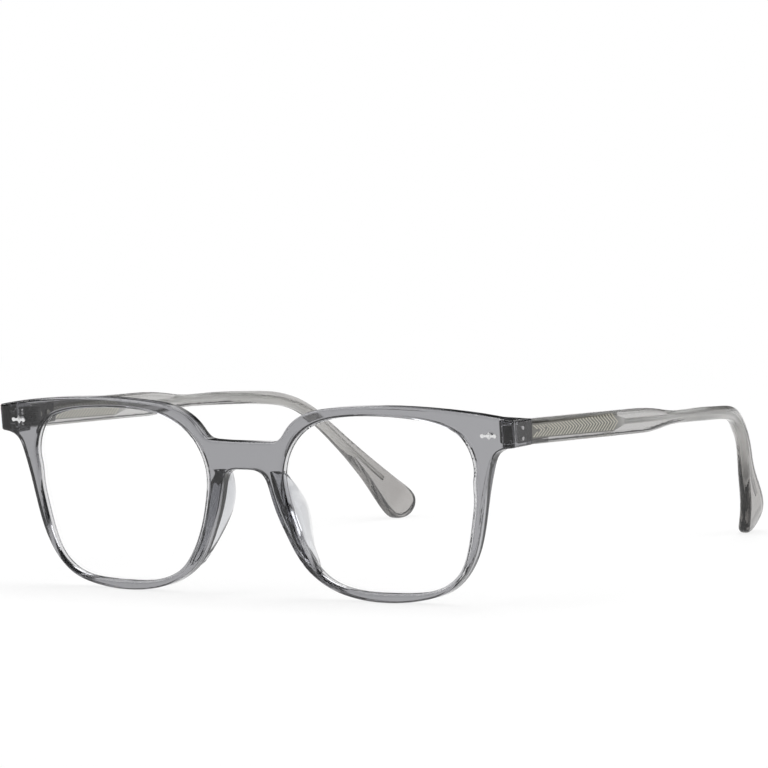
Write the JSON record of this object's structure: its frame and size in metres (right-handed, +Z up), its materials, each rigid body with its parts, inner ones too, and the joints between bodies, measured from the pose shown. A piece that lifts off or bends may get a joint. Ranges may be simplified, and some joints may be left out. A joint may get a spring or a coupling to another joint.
{
  "type": "eyeglasses",
  "caption": "Square eyeglasses in clear grey acetate with silver cored temples that fold, star ornaments on the end pieces and fixed nose pads.",
  "frame": {"origin": "On the table, under the middle of the whole glasses with both temples open.", "axes": "+Z up, +X to the wearer's left, +Y from the front back along the temples; -Y is where the front faces."},
  "size_m": [0.1424, 0.1578, 0.0456],
  "materials": {
    "acetate": "polished clear grey acetate",
    "pad_acetate": "polished clear acetate, paler than the frame",
    "lens": "clear, coated, polished",
    "silver_metal": "polished silver",
    "hinge_metal": "bright nickel silver",
    "core_metal": "satin nickel silver with an engraved zigzag"
  },
  "bodies": {
    "front": {"front_frame": "acetate", "lens_left": "lens", "lens_right": "lens", "nose_pad_left": "pad_acetate", "nose_pad_right": "pad_acetate", "star_ornament_left": "silver_metal", "star_ornament_right": "silver_metal", "front_hinge_leaf_left": "hinge_metal", "front_hinge_leaf_right": "hinge_metal", "front_hinge_rivets_left": "hinge_metal", "front_hinge_rivets_right": "hinge_metal", "hinge_screw_left": "hinge_metal", "hinge_screw_right": "hinge_metal"},
    "left_temple": {"temple_arm_left": "acetate", "temple_core_left": "core_metal", "temple_hinge_leaf_left": "hinge_metal", "temple_hinge_rivets_left": "hinge_metal"},
    "right_temple": {"temple_arm_right": "acetate", "temple_core_right": "core_metal", "temple_hinge_leaf_right": "hinge_metal", "temple_hinge_rivets_right": "hinge_metal"}
  },
  "joints": [
    {"name": "left_temple_hinge", "type": "hinge", "parent": "front", "child": "left_temple", "pos_m": [0.06505, -0.06571, 0.0396], "axis": [0, 0, 1], "range_deg": [0, 86]},
    {"name": "right_temple_hinge", "type": "hinge", "parent": "front", "child": "right_temple", "pos_m": [-0.06505, -0.06571, 0.0396], "axis": [0, 0, -1], "range_deg": [0, 75]}
  ]
}
